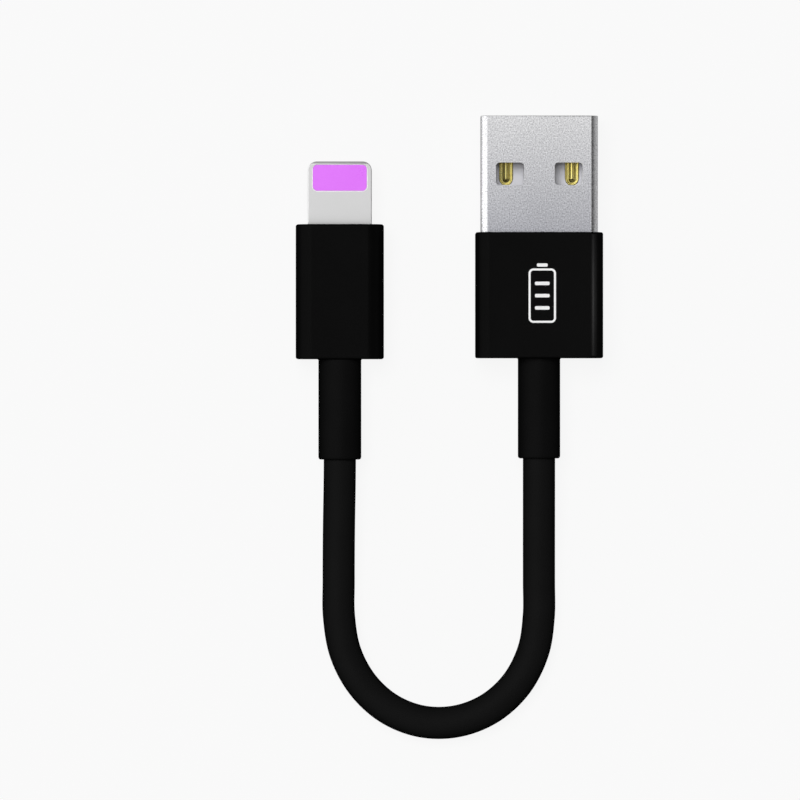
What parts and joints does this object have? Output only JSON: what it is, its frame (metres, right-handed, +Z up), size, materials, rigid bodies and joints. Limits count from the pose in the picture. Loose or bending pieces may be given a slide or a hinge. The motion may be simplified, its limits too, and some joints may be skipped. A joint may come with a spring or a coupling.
{
  "type": "charging cable",
  "caption": "Short black charging cable with a rectangular USB-A plug at one end, a slim reversible phone plug at the other, and a round cord lying flat in a U-bend.",
  "frame": {"origin": "bottom centre of the box round the two plug assemblies, on the surface that the cable lies on", "axes": "+Y is the way both plugs point, +X runs from the phone plug to the USB plug, +Z is up from the surface"},
  "size_m": [0.0314, 0.0639, 0.006],
  "materials": {
    "housing_plastic": "smooth moulded black plastic with a very fine satin grain",
    "elastomer": "matte black thermoplastic elastomer",
    "plated_steel": "nickel-plated folded sheet with a fine satin grain",
    "frame_steel": "bright satin metal",
    "tongue_plastic": "pale grey moulded plastic",
    "gold": "gold plating on copper alloy",
    "violet_film": "thin violet film",
    "carrier_plastic": "dark moulded insert",
    "circuit_board": "green solder mask",
    "chip_resin": "matte black resin",
    "tan_ceramic": "tan ceramic body",
    "natural_mould": "natural polyethylene",
    "braid": "tinned copper braid",
    "wire_red": "red wire insulation",
    "wire_white": "white wire insulation",
    "wire_green": "green wire insulation",
    "wire_black": "black wire insulation"
  },
  "bodies": {
    "root": {"usb_sleeve": "plated_steel", "usb_tongue": "tongue_plastic", "usb_contact_vbus": "gold", "usb_contact_data_minus": "gold", "usb_contact_data_plus": "gold", "usb_contact_ground": "gold", "usb_inner_mould": "natural_mould", "usb_cable_crimp": "plated_steel", "usb_housing": "housing_plastic", "usb_strain_relief": "elastomer", "cord_jacket": "elastomer", "cord_shield": "braid", "cord_wire_red": "wire_red", "cord_wire_white": "wire_white", "cord_wire_green": "wire_green", "cord_wire_black": "wire_black", "phone_plug_frame": "frame_steel", "phone_contact_carrier_top": "carrier_plastic", "phone_contact_carrier_bottom": "carrier_plastic", "phone_contact_top_1": "gold", "phone_contact_top_2": "gold", "phone_contact_top_3": "gold", "phone_contact_top_4": "gold", "phone_contact_top_5": "gold", "phone_contact_top_6": "gold", "phone_contact_top_7": "gold", "phone_contact_top_8": "gold", "phone_contact_bottom_1": "gold", "phone_contact_bottom_2": "gold", "phone_contact_bottom_3": "gold", "phone_contact_bottom_4": "gold", "phone_contact_bottom_5": "gold", "phone_contact_bottom_6": "gold", "phone_contact_bottom_7": "gold", "phone_contact_bottom_8": "gold", "phone_contact_film": "violet_film", "phone_circuit_board": "circuit_board", "phone_controller_chip": "chip_resin", "phone_power_switch_chip": "chip_resin", "phone_capacitor_1": "tan_ceramic", "phone_capacitor_2": "tan_ceramic", "phone_capacitor_3": "tan_ceramic", "phone_capacitor_4": "tan_ceramic", "phone_shield_can": "plated_steel", "phone_inner_mould": "natural_mould", "phone_cable_crimp": "plated_steel", "phone_housing": "housing_plastic", "phone_strain_relief": "elastomer"}
  },
  "joints": []
}
